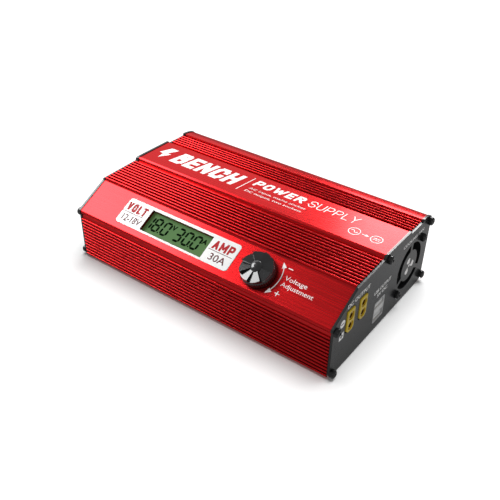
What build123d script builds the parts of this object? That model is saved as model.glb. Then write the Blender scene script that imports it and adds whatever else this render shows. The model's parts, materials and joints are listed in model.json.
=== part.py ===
from build123d import *
import os
from math import atan2, cos, radians, sin

# Adjustable bench DC power supply in a ribbed aluminium case.
# Frame: origin at the centre of the resting plane, front towards -Y, outputs at +X, +Z up.
# Case sizes below are given from the front face (y) and from the case underside (z).

# ---------------- driving dimensions (mm) ----------------
CASE_L = 200.0
CASE_D = 122.0
DATUM_Y = 60.0
BASE_D = 110.0
FOOT_PROUD = 1.2
PLATE_T = 1.6
PLATE_GROW = 0.4
RIB_DEEP = 1.0
RIB_W = 1.4
SIDE_PITCH = 2.59
SIDE_RIBS = 12
TOP_PITCH = 2.87
RIDGE_Z = 36.6
SLOPE_Y = 24.6
SLOPE_Z = 49.6
GROOVE_Z = 50.4
GROOVE_RISE = 0.03
REAR_GROOVE_Z = 51.5
FLAT_Z = 53.6
FLAT_FRONT = 59.0
FLAT_REAR = 90.8
WALL = 1.9
SLOPE_WALL = 2.25
CEILING_Z = 48.0
BASE_T = 2.0
BASE_LIFT = 1.0
PORTS = [(2.9, 34.0), (2.8, 2.8), (61.6, 49.8), (118.8, 48.2), (119.0, 5.2)]
PORT_R = 3.3
THREAD_R = 1.5
SHANK_R = 1.48
HEAD_R = 2.8
HEAD_H = 2.9
WINDOW = (51.6, 16.2)
WINDOW_AT = (-23.2, 14.0)
LABEL = (93.9, 19.7)
LABEL_AT = (-23.3, 14.35)
KNOB_AT = (43.0, 13.4)
KNOB_R = 11.0
KNOB_TOP = 7.5
FACETS = 8
FACET_TILT = radians(15)
SHAFT_R = 3.0
BUSH_R = 3.5
POT_DEEP = 7.0
BOARD_T = 1.6
RIBBON_X = -56.0
FAN_AT = (96.3, 25.2)
FAN_SIZE = 35.0
FAN_PITCH = 29.0
FAN_DEEP = 10.0
FAN_BORE_R = 16.5
SOCKET = (8.1, 16.0)
SOCKET_YS = (18.9, 33.5)
SOCKET_Z = 32.0
SOCKET_PROUD = 0.8
CONTACT_PITCH = 7.2
CONTACT_R = 2.3
CONTACT_BORE_R = 1.75
USB = (13.1, 15.6)
USB_AT = (57.2, 14.6)
INLET_AT = (78.0, 25.0)
INLET = (27.0, 19.8)
INLET_EARS = 40.0
SWITCH_AT = (32.0, 25.0)
SWITCH = (12.9, 18.8)
BOARD_Z = 8.0
BOARD_TOP = BOARD_Z + BOARD_T
VENT_YS = (12.0, 15.5, 19.0, 105.0, 108.5, 112.0)

HALF = CASE_L / 2
RIGHT = HALF + PLATE_T
LEFT = -HALF - PLATE_T
SLOPE = atan2(SLOPE_Z - RIDGE_Z, SLOPE_Y)
os.makedirs("parts", exist_ok=True)


def at(y, z):
    """Model Y and Z of a point given from the front face and the case underside."""
    return (y - DATUM_Y, z + FOOT_PROUD)


def groove_at(y):
    """Height of the groove floor between the slope and the flat band."""
    return GROOVE_Z + (y - SLOPE_Y) * GROOVE_RISE


def facing_right(x, y, z):
    """Plane at case point (y, z), looking along +X, with Y to its right and Z up."""
    return Plane(origin=(x, *at(y, z)), x_dir=(0, 1, 0), z_dir=(1, 0, 0))


def facing_left(x, y, z):
    """Plane at case point (y, z), looking along -X, with Z up."""
    return Plane(origin=(x, *at(y, z)), x_dir=(0, -1, 0), z_dir=(-1, 0, 0))


def level(z):
    """Horizontal plane at a height above the case underside, centred on the case."""
    return Plane.XY.offset(z + FOOT_PROUD)


def from_front(x, y):
    """Point of a level plane given by X and the distance from the front face."""
    return (x, y - DATUM_Y)


slope = Plane(
    origin=(0, *at(0, RIDGE_Z)), x_dir=(1, 0, 0), z_dir=(0, -sin(SLOPE), cos(SLOPE))
)
# Outer face of the case without its ribs, drawn on the level plane: X is depth, Y is height.
with BuildSketch() as case_outline:
    with BuildLine():
        Polyline(at(1, 32), at(1, 0), at(121, 0), at(121, 43), at(CASE_D, 44.4), at(CASE_D, 47.6))
        ThreePointArc(at(CASE_D, 47.6), at(121.1, 50.2), at(118.8, 51.7))
        ThreePointArc(at(118.8, 51.7), at(114.4, 52.8), at(109.8, 53.2))
        Polyline(
            at(109.8, 53.2), at(109.2, REAR_GROOVE_Z), at(92.4, REAR_GROOVE_Z), at(FLAT_REAR, FLAT_Z),
            at(FLAT_FRONT + 0.8, FLAT_Z), at(FLAT_FRONT - 0.4, FLAT_Z - 0.6),
            at(57.8, groove_at(57.8)), at(SLOPE_Y + 0.6, groove_at(SLOPE_Y + 0.6)),
            at(SLOPE_Y, SLOPE_Z), at(1.2 * cos(SLOPE), RIDGE_Z + 1.2 * sin(SLOPE)),
        )
        ThreePointArc(
            at(1.2 * cos(SLOPE), RIDGE_Z + 1.2 * sin(SLOPE)), at(0.12, RIDGE_Z - 0.3),
            at(0, RIDGE_Z - 1.4),
        )
        ThreePointArc(at(0, RIDGE_Z - 1.4), at(0.75, 34.2), at(1, 32))
    make_face()

# Free space inside the shell, with the five screw ports left standing.
with BuildSketch() as cavity:
    with BuildLine():
        Polyline(
            at(6, -1), at(6, 5), at(1 + WALL, 6.6), at(1 + WALL, 35.6), at(26.3, CEILING_Z),
            at(57.6, CEILING_Z), at(59.8, 51.4), at(90.0, 51.4), at(92.0, CEILING_Z),
            at(117.6, CEILING_Z), at(121 - WALL, 46.0), at(121 - WALL, 6.6), at(114, 5),
            at(114, -1), close=True,
        )
    make_face()
    with Locations(*[at(y, z) for y, z in PORTS]):
        Circle(PORT_R, mode=Mode.SUBTRACT)

with BuildPart() as upper_shell:
    with BuildSketch(Plane.YZ.offset(-HALF)):
        add(case_outline.sketch)
        side_zs = [1.3 + SIDE_PITCH * i for i in range(SIDE_RIBS)]
        with Locations(*[at(RIB_DEEP, z) for z in side_zs]):
            SlotOverall(2 * RIB_DEEP, RIB_W)
        rear_zs = [1.3 + SIDE_PITCH * i for i in range(SIDE_RIBS + 4)]
        with Locations(*[at(CASE_D - RIB_DEEP, z) for z in rear_zs]):
            SlotOverall(2 * RIB_DEEP, RIB_W)
        front_ys = [26.0 + TOP_PITCH * i for i in range(11)]
        back_ys = [95.6 + TOP_PITCH * i for i in range(5)]
        front_ribs = [at(y, groove_at(y)) for y in front_ys]
        back_ribs = [at(y, REAR_GROOVE_Z) for y in back_ys]
        with Locations(*front_ribs, *back_ribs):
            SlotOverall(2.6, RIB_W, rotation=90)
        add(cavity.sketch, mode=Mode.SUBTRACT)
        with Locations(*[at(y, z) for y, z in PORTS]):
            Circle(THREAD_R, mode=Mode.SUBTRACT)
        with Locations(at(5.5, BASE_LIFT + BASE_T / 2), at(BASE_D + 4.5, BASE_LIFT + BASE_T / 2)):
            Rectangle(1.4, BASE_T + 0.2, mode=Mode.SUBTRACT)
    extrude(amount=CASE_L)
    with BuildSketch(slope):
        with Locations(WINDOW_AT):
            Rectangle(*WINDOW)
        with Locations(KNOB_AT):
            Circle(BUSH_R + 0.1)
    extrude(amount=-SLOPE_WALL - 1, mode=Mode.SUBTRACT)
upper_shell.part.label = "upper_shell"
export_step(upper_shell.part, "parts/upper_shell.step")

STANDOFFS = [(-88, 14), (-88, 106), (-8, 14), (-8, 106), (76, 14), (76, 106)]
with BuildPart() as base_plate:
    with BuildSketch(level(BASE_LIFT)):
        Rectangle(CASE_L, BASE_D)
        with Locations(*[from_front(x, y) for x, y in STANDOFFS]):
            Circle(2.0, mode=Mode.SUBTRACT)
    extrude(amount=BASE_T)
base_plate.part.label = "base_plate"
export_step(base_plate.part, "parts/base_plate.step")

with BuildPart() as rubber_feet:
    with BuildSketch(Plane.XY):
        with GridLocations(160, 84, 2, 2):
            Circle(6)
    extrude(amount=FOOT_PROUD + BASE_LIFT)
    chamfer(rubber_feet.edges().group_by(Axis.Z)[0], 0.4)
rubber_feet.part.label = "rubber_feet"
export_step(rubber_feet.part, "parts/rubber_feet.step")

# End plates: the case outline grown a little, cut flat at the bottom, with rounded corners.
with BuildSketch() as plate_outline:
    add(case_outline.sketch)
    offset(amount=PLATE_GROW, kind=Kind.INTERSECTION)
    with Locations(at(CASE_D / 2, -5)):
        Rectangle(CASE_D + 10, 10.2, mode=Mode.SUBTRACT)
    fillet(plate_outline.vertices().group_by(Axis.Y)[0], 2.5)

# Fan opening: a ring crossed by three spokes.
with BuildSketch() as fan_grille:
    Circle(16.6)
    Circle(11.1, mode=Mode.SUBTRACT)
    for spoke in (90, 210, 330):
        with Locations(Location((14 * cos(radians(spoke)), 14 * sin(radians(spoke)), 0), spoke)):
            Rectangle(8, 2.8, mode=Mode.SUBTRACT)
FAN_SCREWS = [(FAN_AT[0] - FAN_PITCH / 2, FAN_AT[1] - FAN_PITCH / 2),
              (FAN_AT[0] + FAN_PITCH / 2, FAN_AT[1] + FAN_PITCH / 2)]


def socket_outline(grow):
    """Outline of an output socket: a rectangle whose two lower corners are cut off."""
    with BuildSketch() as outline:
        Rectangle(SOCKET[0] + 2 * grow, SOCKET[1] + 2 * grow)
        chamfer(outline.vertices().group_by(Axis.Y)[0], 2.0)
        fillet(outline.vertices().group_by(Axis.Y)[-1], 0.6)
    return outline.sketch


with BuildPart() as right_end_plate:
    with BuildSketch(Plane.YZ.offset(HALF)):
        add(plate_outline.sketch)
        with Locations(*[at(y, z) for y, z in PORTS + FAN_SCREWS]):
            Circle(1.6, mode=Mode.SUBTRACT)
        with Locations(*[at(y, SOCKET_Z) for y in SOCKET_YS]):
            add(socket_outline(0.5), mode=Mode.SUBTRACT)
        with Locations(at(*USB_AT)):
            RectangleRounded(USB[0] + 0.6, USB[1] + 0.6, 0.5, mode=Mode.SUBTRACT)
        with Locations(at(*FAN_AT)):
            add(fan_grille.sketch, mode=Mode.SUBTRACT)
    extrude(amount=PLATE_T)
right_end_plate.part.label = "right_end_plate"
export_step(right_end_plate.part, "parts/right_end_plate.step")

with BuildPart() as left_end_plate:
    with BuildSketch(Plane.YZ.offset(LEFT)):
        add(plate_outline.sketch)
        with Locations(*[at(y, z) for y, z in PORTS]):
            Circle(1.6, mode=Mode.SUBTRACT)
        with Locations(at(*INLET_AT)):
            Rectangle(INLET[0] + 0.4, INLET[1] + 0.4, mode=Mode.SUBTRACT)
            with Locations((-INLET_EARS / 2, 0), (INLET_EARS / 2, 0)):
                Circle(1.6, mode=Mode.SUBTRACT)
        with Locations(at(*SWITCH_AT)):
            Rectangle(SWITCH[0] + 0.2, SWITCH[1] + 0.2, mode=Mode.SUBTRACT)
        with Locations(*[at(y, INLET_AT[1]) for y in VENT_YS]):
            SlotOverall(22, 1.8, rotation=90, mode=Mode.SUBTRACT)
    extrude(amount=PLATE_T)
left_end_plate.part.label = "left_end_plate"
export_step(left_end_plate.part, "parts/left_end_plate.step")


def button_screw(length):
    """Domed M3 screw with a hexagon socket, its head seated on the local XY plane."""
    with BuildPart() as screw:
        with BuildSketch(Plane.XZ):
            with BuildLine():
                Polyline((0, 0), (HEAD_R, 0), (HEAD_R, HEAD_H * 0.55))
                ThreePointArc(
                    (HEAD_R, HEAD_H * 0.55), (HEAD_R * 0.8, HEAD_H * 0.93), (HEAD_R * 0.4, HEAD_H)
                )
                Polyline((HEAD_R * 0.4, HEAD_H), (0, HEAD_H), (0, 0))
            make_face()
        revolve(axis=Axis.Z)
        with BuildSketch(Plane.XY):
            Circle(SHANK_R)
        extrude(amount=-length)
        with BuildSketch(Plane.XY.offset(HEAD_H)):
            RegularPolygon(1.15, 6)
        extrude(amount=-1.2, mode=Mode.SUBTRACT)
    return screw.part


plate_screw = button_screw(9.6)
with BuildPart() as plate_screws:
    with Locations(*[facing_right(RIGHT, y, z) for y, z in PORTS]):
        add(plate_screw)
    with Locations(*[facing_left(LEFT, y, z) for y, z in PORTS]):
        add(plate_screw)
plate_screws.part.label = "plate_screws"
export_step(plate_screws.part, "parts/plate_screws.step")

# ---------------- display and voltage control on the sloping face ----------------
with BuildPart() as display_label:
    with BuildSketch(slope):
        with Locations(LABEL_AT):
            RectangleRounded(*LABEL, 2.2)
        with Locations(WINDOW_AT):
            Rectangle(*WINDOW, mode=Mode.SUBTRACT)
    extrude(amount=0.25)
display_label.part.label = "display_label"
export_step(display_label.part, "parts/display_label.step")

GLASS_T = 2.0
with BuildPart() as display_glass:
    with BuildSketch(slope.offset(-SLOPE_WALL - GLASS_T)):
        with Locations(WINDOW_AT):
            Rectangle(56, 18.4)
    extrude(amount=GLASS_T)
display_glass.part.label = "display_glass"
export_step(display_glass.part, "parts/display_glass.step")

BACKLIGHT_T = POT_DEEP - GLASS_T
with BuildPart() as display_light_guide:
    with BuildSketch(slope.offset(-SLOPE_WALL - POT_DEEP)):
        with Locations(WINDOW_AT):
            RectangleRounded(58, 18.4, 1)
    extrude(amount=BACKLIGHT_T)
display_light_guide.part.label = "display_light_guide"
export_step(display_light_guide.part, "parts/display_light_guide.step")

BOARD_DOWN = SLOPE_WALL + POT_DEEP + BOARD_T
with BuildPart() as display_board:
    with BuildSketch(slope.offset(-BOARD_DOWN)):
        with Locations((-1.5, WINDOW_AT[1])):
            RectangleRounded(120, 20.5, 1)
    extrude(amount=BOARD_T)
    with BuildSketch(slope.offset(-BOARD_DOWN)):
        with Locations((RIBBON_X, WINDOW_AT[1])):
            Rectangle(12, 6)
    extrude(amount=-3)
display_board.part.label = "display_board"
export_step(display_board.part, "parts/display_board.step")

with BuildPart() as potentiometer_body:
    with BuildSketch(slope.offset(-SLOPE_WALL - POT_DEEP)):
        with Locations(KNOB_AT):
            Circle(8.2)
    extrude(amount=POT_DEEP)
    with BuildSketch(slope.offset(-SLOPE_WALL)):
        with Locations(KNOB_AT):
            Circle(BUSH_R)
    extrude(amount=SLOPE_WALL + 2.8)
    with BuildSketch(slope.offset(2.8)):
        with Locations(KNOB_AT):
            Circle(SHAFT_R + 0.05)
    extrude(amount=-SLOPE_WALL - 4.8, mode=Mode.SUBTRACT)
    with BuildSketch(slope.offset(-SLOPE_WALL - 2)):
        with Locations(KNOB_AT):
            Circle(6.6)
    extrude(amount=-2.4, mode=Mode.SUBTRACT)
potentiometer_body.part.label = "potentiometer_body"
export_step(potentiometer_body.part, "parts/potentiometer_body.step")

with BuildPart() as potentiometer_washer:
    with BuildSketch(slope):
        with Locations(KNOB_AT):
            Circle(6)
            Circle(BUSH_R + 0.1, mode=Mode.SUBTRACT)
    extrude(amount=0.5)
potentiometer_washer.part.label = "potentiometer_washer"
export_step(potentiometer_washer.part, "parts/potentiometer_washer.step")

with BuildPart() as potentiometer_nut:
    with BuildSketch(slope.offset(0.5)):
        with Locations(KNOB_AT):
            RegularPolygon(5.7, 6)
            Circle(BUSH_R, mode=Mode.SUBTRACT)
    extrude(amount=2.0)
potentiometer_nut.part.label = "potentiometer_nut"
export_step(potentiometer_nut.part, "parts/potentiometer_nut.step")

with BuildPart() as potentiometer_shaft:
    with BuildSketch(slope.offset(-SLOPE_WALL - 2.3)):
        with Locations(KNOB_AT):
            Circle(SHAFT_R)
    extrude(amount=SLOPE_WALL + 2.3 + 6.6)
    with BuildSketch(slope.offset(-SLOPE_WALL - 4.1)):
        with Locations(KNOB_AT):
            Circle(3.6)
            with Locations((0, 3)):
                Rectangle(2.4, 5.6)
    extrude(amount=1.8)
potentiometer_shaft.part.label = "potentiometer_shaft"
export_step(potentiometer_shaft.part, "parts/potentiometer_shaft.step")

# Knob: knurled skirt, crown of flat facets that each fall away from a radial edge, centre dome.
KNOB_LIFT = 0.4
knob_plane = Plane(
    origin=slope.from_local_coords((*KNOB_AT, 0)), x_dir=slope.x_dir, z_dir=slope.z_dir
)
with BuildPart() as knob_blank:
    with BuildSketch(Plane.XZ):
        with BuildLine():
            Polyline(
                (0, KNOB_LIFT), (KNOB_R, KNOB_LIFT), (KNOB_R, 3.6), (KNOB_R - 0.5, 4.5),
                (KNOB_R - 0.5, KNOB_TOP), (0, KNOB_TOP), (0, KNOB_LIFT),
            )
        make_face()
    revolve(axis=Axis.Z)
    with BuildSketch(Plane.XY):
        with PolarLocations(KNOB_R + 0.15, 48):
            RegularPolygon(0.55, 4)
    extrude(amount=4.6, mode=Mode.SUBTRACT)
with BuildPart() as facet_cut:
    with BuildSketch(Plane.XY.offset(KNOB_TOP - 4)):
        with BuildLine():
            turn = radians(360 / FACETS)
            Polyline((0, 0), (14, 0), (14 * cos(turn), -14 * sin(turn)), (0, 0))
        make_face()
    extrude(amount=6)
    split(bisect_by=Plane(origin=(0, 0, KNOB_TOP), z_dir=(0, -sin(FACET_TILT), cos(FACET_TILT))))
with BuildPart() as knob:
    add(knob_blank.part)
    with PolarLocations(0, FACETS):
        add(facet_cut.part, mode=Mode.SUBTRACT)
    with BuildSketch(Plane.XZ):
        with BuildLine():
            Polyline((0, 5), (3.7, 5), (3.7, KNOB_TOP))
            ThreePointArc((3.7, KNOB_TOP), (2.2, KNOB_TOP + 0.75), (0, KNOB_TOP + 1.0))
            Line((0, KNOB_TOP + 1.0), (0, 5))
        make_face()
    revolve(axis=Axis.Z)
    with BuildSketch(Plane.XY):
        Circle(6.8)
    extrude(amount=3.0, mode=Mode.SUBTRACT)
    with BuildSketch(Plane.XY):
        Circle(SHAFT_R)
    extrude(amount=6.7, mode=Mode.SUBTRACT)
knob.part.locate(Location(knob_plane))
knob.part.label = "knob"
export_step(knob.part, "parts/knob.step")

# ---------------- fan ----------------
FAN_BACK = HALF - FAN_DEEP


def fan_plane(x):
    """Plane square to the fan shaft at the given X."""
    return facing_right(x, *FAN_AT)


with BuildPart() as fan_frame:
    with BuildSketch(fan_plane(FAN_BACK)):
        RectangleRounded(FAN_SIZE, FAN_SIZE, 2.5)
        Circle(FAN_BORE_R, mode=Mode.SUBTRACT)
        with GridLocations(FAN_PITCH, FAN_PITCH, 2, 2):
            Circle(1.6, mode=Mode.SUBTRACT)
    extrude(amount=FAN_DEEP)
    with BuildSketch(fan_plane(FAN_BACK)):
        Circle(9.5)
        with PolarLocations(13, 3, start_angle=30):
            Rectangle(8, 2.2)
    extrude(amount=1.4)
    with BuildSketch(fan_plane(FAN_BACK + 1.4)):
        Circle(2.6)
        Circle(1.9, mode=Mode.SUBTRACT)
    extrude(amount=5)
fan_frame.part.label = "fan_frame"
export_step(fan_frame.part, "parts/fan_frame.step")

with BuildPart() as fan_bearing:
    with BuildSketch(fan_plane(FAN_BACK + 1.4)):
        Circle(1.9)
        Circle(1.05, mode=Mode.SUBTRACT)
    extrude(amount=5)
fan_bearing.part.label = "fan_bearing"
export_step(fan_bearing.part, "parts/fan_bearing.step")

with BuildPart() as fan_stator:
    with BuildSketch(fan_plane(FAN_BACK + 1.4)):
        Circle(6.9)
        Circle(2.6, mode=Mode.SUBTRACT)
        with PolarLocations(5.6, 4):
            Rectangle(3.4, 1.4, mode=Mode.SUBTRACT)
    extrude(amount=4.6)
fan_stator.part.label = "fan_stator"
export_step(fan_stator.part, "parts/fan_stator.step")

with BuildPart() as fan_shaft:
    with BuildSketch(fan_plane(FAN_BACK + 1.7)):
        Circle(1.0)
    extrude(amount=6.5)
fan_shaft.part.label = "fan_shaft"
export_step(fan_shaft.part, "parts/fan_shaft.step")

with BuildPart() as fan_magnet:
    with BuildSketch(fan_plane(FAN_BACK + 2.6)):
        Circle(8.3)
        Circle(7.3, mode=Mode.SUBTRACT)
    extrude(amount=4.8)
fan_magnet.part.label = "fan_magnet"
export_step(fan_magnet.part, "parts/fan_magnet.step")

with BuildPart() as fan_blade:
    for radius, pitch, chord in ((8.6, 50, 6.4), (15.5, 36, 8.6)):
        with BuildSketch(Plane(origin=(radius, 0, 0), x_dir=(0, 1, 0), z_dir=(1, 0, 0))):
            SlotOverall(chord, 0.9, rotation=pitch)
    loft()
with BuildPart() as fan_rotor:
    with BuildSketch(fan_plane(FAN_BACK + 2.2)):
        Circle(9.1)
        Circle(8.3, mode=Mode.SUBTRACT)
    extrude(amount=5.2)
    with BuildSketch(fan_plane(FAN_BACK + 7.4)):
        Circle(9.1)
    extrude(amount=1.4)
    fillet(fan_rotor.edges().group_by(Axis.X)[-1], 0.6)
    with BuildSketch(fan_plane(FAN_BACK + 6.6)):
        Circle(2.0)
    extrude(amount=0.8)
    with BuildSketch(fan_plane(FAN_BACK + 6.6)):
        Circle(1.0)
    extrude(amount=1.6, mode=Mode.SUBTRACT)
    with Locations(fan_plane(FAN_BACK + 5.4)):
        with PolarLocations(0, 7):
            add(fan_blade.part)
fan_rotor.part.label = "fan_rotor"
export_step(fan_rotor.part, "parts/fan_rotor.step")

fan_screw = button_screw(PLATE_T + FAN_DEEP + 3)
with BuildPart() as fan_screws:
    with Locations(*[facing_right(RIGHT, y, z) for y, z in FAN_SCREWS]):
        add(fan_screw)
fan_screws.part.label = "fan_screws"
export_step(fan_screws.part, "parts/fan_screws.step")

with BuildPart() as fan_nuts:
    with BuildSketch(Plane.YZ.offset(FAN_BACK - 2.4)):
        with Locations(*[at(y, z) for y, z in FAN_SCREWS]):
            RegularPolygon(3.1, 6)
            Circle(THREAD_R, mode=Mode.SUBTRACT)
    extrude(amount=2.4)
fan_nuts.part.label = "fan_nuts"
export_step(fan_nuts.part, "parts/fan_nuts.step")

# ---------------- DC outputs and USB port ----------------
SOCKET_BACK = 88.0
SOCKET_FACE = RIGHT + SOCKET_PROUD


def output_socket(y):
    """Two-pole output socket housing: flange behind the plate, chamfered face, two counterbored bores."""
    with BuildPart() as housing:
        with BuildSketch(facing_right(SOCKET_BACK, y, SOCKET_Z)):
            add(socket_outline(0))
        extrude(amount=SOCKET_FACE - SOCKET_BACK)
        chamfer(housing.faces().sort_by(Axis.X)[-1].edges(), length=0.4)
        with BuildSketch(facing_right(HALF - 1.6, y, SOCKET_Z)):
            Rectangle(SOCKET[0] + 2, SOCKET[1] + 2)
        extrude(amount=1.6)
        with BuildSketch(facing_right(SOCKET_FACE, y, SOCKET_Z)):
            with Locations((0, -CONTACT_PITCH / 2), (0, CONTACT_PITCH / 2)):
                Circle(CONTACT_R + 0.65)
        extrude(amount=-3.0, mode=Mode.SUBTRACT)
        with BuildSketch(facing_right(SOCKET_BACK, y, SOCKET_Z)):
            with Locations((0, -CONTACT_PITCH / 2), (0, CONTACT_PITCH / 2)):
                Circle(CONTACT_R)
        extrude(amount=SOCKET_FACE - SOCKET_BACK, mode=Mode.SUBTRACT)
    return housing.part


with BuildPart() as dc_socket_front:
    add(output_socket(SOCKET_YS[0]))
dc_socket_front.part.label = "dc_socket_front"
export_step(dc_socket_front.part, "parts/dc_socket_front.step")

with BuildPart() as dc_socket_rear:
    add(output_socket(SOCKET_YS[1]))
dc_socket_rear.part.label = "dc_socket_rear"
export_step(dc_socket_rear.part, "parts/dc_socket_rear.step")

CONTACT_ENDS = (84.0, SOCKET_FACE - 0.5)
contact_places = [
    at(y, SOCKET_Z + side * CONTACT_PITCH / 2) for y in SOCKET_YS for side in (-1, 1)
]
with BuildPart() as dc_contacts:
    with BuildSketch(Plane.YZ.offset(CONTACT_ENDS[0])):
        with Locations(*contact_places):
            Circle(CONTACT_R)
    extrude(amount=CONTACT_ENDS[1] - CONTACT_ENDS[0])
    with BuildSketch(Plane.YZ.offset(CONTACT_ENDS[1])):
        with Locations(*contact_places):
            Circle(CONTACT_BORE_R)
    extrude(amount=-11, mode=Mode.SUBTRACT)
dc_contacts.part.label = "dc_contacts"
export_step(dc_contacts.part, "parts/dc_contacts.step")

with BuildPart() as output_board:
    with BuildSketch(Plane.YZ.offset(SOCKET_BACK - BOARD_T)):
        with Locations(at(39, 24.5)):
            Rectangle(54, 29)
        with Locations(*contact_places):
            Circle(CONTACT_R + 0.05, mode=Mode.SUBTRACT)
    extrude(amount=BOARD_T)
output_board.part.label = "output_board"
export_step(output_board.part, "parts/output_board.step")

USB_SHEET = 0.4
USB_BAY = 5.3
USB_FACE = RIGHT + 0.2
bay_offset = USB[1] / 2 - USB_SHEET - USB_BAY / 2
with BuildPart() as usb_shell:
    with BuildSketch(facing_right(SOCKET_BACK, *USB_AT)):
        RectangleRounded(*USB, 0.5)
        Rectangle(USB[0] - 2 * USB_SHEET, USB[1] - 2 * USB_SHEET, mode=Mode.SUBTRACT)
    extrude(amount=USB_FACE - SOCKET_BACK)
usb_shell.part.label = "usb_shell"
export_step(usb_shell.part, "parts/usb_shell.step")

with BuildPart() as usb_insulator:
    with BuildSketch(facing_right(SOCKET_BACK, *USB_AT)):
        Rectangle(USB[0] - 2 * USB_SHEET, USB[1] - 2 * USB_SHEET)
    extrude(amount=3)
    with BuildSketch(facing_right(SOCKET_BACK + 3, *USB_AT)):
        Rectangle(USB[0] - 2 * USB_SHEET, USB[1] - 2 * USB_SHEET - 2 * USB_BAY)
    extrude(amount=USB_FACE - SOCKET_BACK - 3.3)
    with BuildSketch(facing_right(SOCKET_BACK + 3, *USB_AT)):
        with Locations((0, bay_offset - 0.7), (0, -bay_offset - 0.7)):
            Rectangle(11.0, 2.2)
    extrude(amount=USB_FACE - SOCKET_BACK - 4.0)
usb_insulator.part.label = "usb_insulator"
export_step(usb_insulator.part, "parts/usb_insulator.step")

contact_rows = [(x, side * bay_offset - 1.9) for side in (-1, 1) for x in (-3.5, -1, 1, 3.5)]
with BuildPart() as usb_contacts:
    with BuildSketch(facing_right(SOCKET_BACK + 4, *USB_AT)):
        with Locations(*contact_rows):
            Rectangle(1.0, 0.2)
    extrude(amount=8.4)
usb_contacts.part.label = "usb_contacts"
export_step(usb_contacts.part, "parts/usb_contacts.step")

# ---------------- mains inlet and power switch on the left plate ----------------
INLET_DEEP = 18.0
FLANGE_T = 2.6
with BuildPart() as mains_inlet:
    with BuildSketch(facing_left(LEFT, *INLET_AT)):
        RectangleRounded(50, 23, 4)
        with Locations((-INLET_EARS / 2, 0), (INLET_EARS / 2, 0)):
            Circle(1.6, mode=Mode.SUBTRACT)
    extrude(amount=FLANGE_T)
    with BuildSketch(facing_left(LEFT, *INLET_AT)):
        Rectangle(*INLET)
    extrude(amount=-INLET_DEEP)
    with BuildSketch(facing_left(LEFT - FLANGE_T, *INLET_AT)) as inlet_mouth:
        Rectangle(24.0, 16.3)
        chamfer(inlet_mouth.vertices().group_by(Axis.Z)[-1], 4.5)
    extrude(amount=-16.5, mode=Mode.SUBTRACT)
mains_inlet.part.label = "mains_inlet"
export_step(mains_inlet.part, "parts/mains_inlet.step")

INLET_FLOOR = LEFT - FLANGE_T + 16.5
with BuildPart() as mains_pins:
    with BuildSketch(facing_left(INLET_FLOOR, *INLET_AT)):
        with Locations((-7, -2), (0, 2), (7, -2)):
            Rectangle(2, 4)
    extrude(amount=12)
mains_pins.part.label = "mains_pins"
export_step(mains_pins.part, "parts/mains_pins.step")

inlet_screw_places = [(INLET_AT[0] + side * INLET_EARS / 2, INLET_AT[1]) for side in (-1, 1)]
inlet_screw = button_screw(FLANGE_T + PLATE_T + 3.4)
with BuildPart() as inlet_screws:
    with Locations(*[facing_left(LEFT - FLANGE_T, y, z) for y, z in inlet_screw_places]):
        add(inlet_screw)
inlet_screws.part.label = "inlet_screws"
export_step(inlet_screws.part, "parts/inlet_screws.step")

with BuildPart() as inlet_nuts:
    with BuildSketch(Plane.YZ.offset(-HALF)):
        with Locations(*[at(y, z) for y, z in inlet_screw_places]):
            RegularPolygon(3.1, 6)
            Circle(THREAD_R, mode=Mode.SUBTRACT)
    extrude(amount=2.4)
inlet_nuts.part.label = "inlet_nuts"
export_step(inlet_nuts.part, "parts/inlet_nuts.step")

BEZEL_T = 1.6
PIVOT_X = LEFT + 4.0
with BuildPart() as switch_body:
    with BuildSketch(facing_left(LEFT, *SWITCH_AT)):
        RectangleRounded(15.0, 21.0, 1.0)
    extrude(amount=BEZEL_T)
    with BuildSketch(facing_left(LEFT, *SWITCH_AT)):
        Rectangle(*SWITCH)
    extrude(amount=-16)
    with BuildSketch(facing_left(LEFT - BEZEL_T, *SWITCH_AT)):
        Rectangle(10.4, 16.4)
    extrude(amount=-14.2, mode=Mode.SUBTRACT)
    with BuildSketch(Plane.XZ.offset(-at(*SWITCH_AT)[0] - 6.0)):
        with Locations((PIVOT_X, at(*SWITCH_AT)[1])):
            Circle(1.05)
    extrude(amount=12, mode=Mode.SUBTRACT)
switch_body.part.label = "switch_body"
export_step(switch_body.part, "parts/switch_body.step")

# Rocker, shown switched on: its two faces meet in a shallow valley above the pivot.
ROCKER_TILT = radians(12)
pivot = Plane(
    origin=(PIVOT_X, *at(*SWITCH_AT)),
    x_dir=(sin(ROCKER_TILT), 0, cos(ROCKER_TILT)), z_dir=(0, 1, 0),
)
with BuildPart() as switch_rocker:
    with BuildSketch(pivot.offset(-5.0)):
        with BuildLine():
            Polyline((-6.8, -6.4), (0, -5.2), (6.8, -6.4), (7.3, -3.0), (6.0, 3.6), (3.0, 5.0))
            Polyline((3.0, 5.0), (-3.0, 5.0), (-6.0, 3.6), (-7.3, -3.0), (-6.8, -6.4))
        make_face()
    extrude(amount=10.0)
    with BuildSketch(pivot.offset(-5.9)):
        Circle(1.0)
    extrude(amount=11.8)
switch_rocker.part.label = "switch_rocker"
export_step(switch_rocker.part, "parts/switch_rocker.step")

with BuildPart() as switch_terminals:
    with BuildSketch(Plane.YZ.offset(LEFT + 16)):
        with Locations(at(32, 21), at(32, 29)):
            Rectangle(4.8, 0.8)
    extrude(amount=8)
switch_terminals.part.label = "switch_terminals"
export_step(switch_terminals.part, "parts/switch_terminals.step")

# ---------------- main board and what stands on it ----------------
with BuildPart() as insulation_sheet:
    with BuildSketch(level(BASE_LIFT + BASE_T)):
        with Locations((-6, 0)):
            Rectangle(180, 100)
        with Locations(*[from_front(x, y) for x, y in STANDOFFS]):
            Circle(3.4, mode=Mode.SUBTRACT)
    extrude(amount=0.4)
insulation_sheet.part.label = "insulation_sheet"
export_step(insulation_sheet.part, "parts/insulation_sheet.step")

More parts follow.
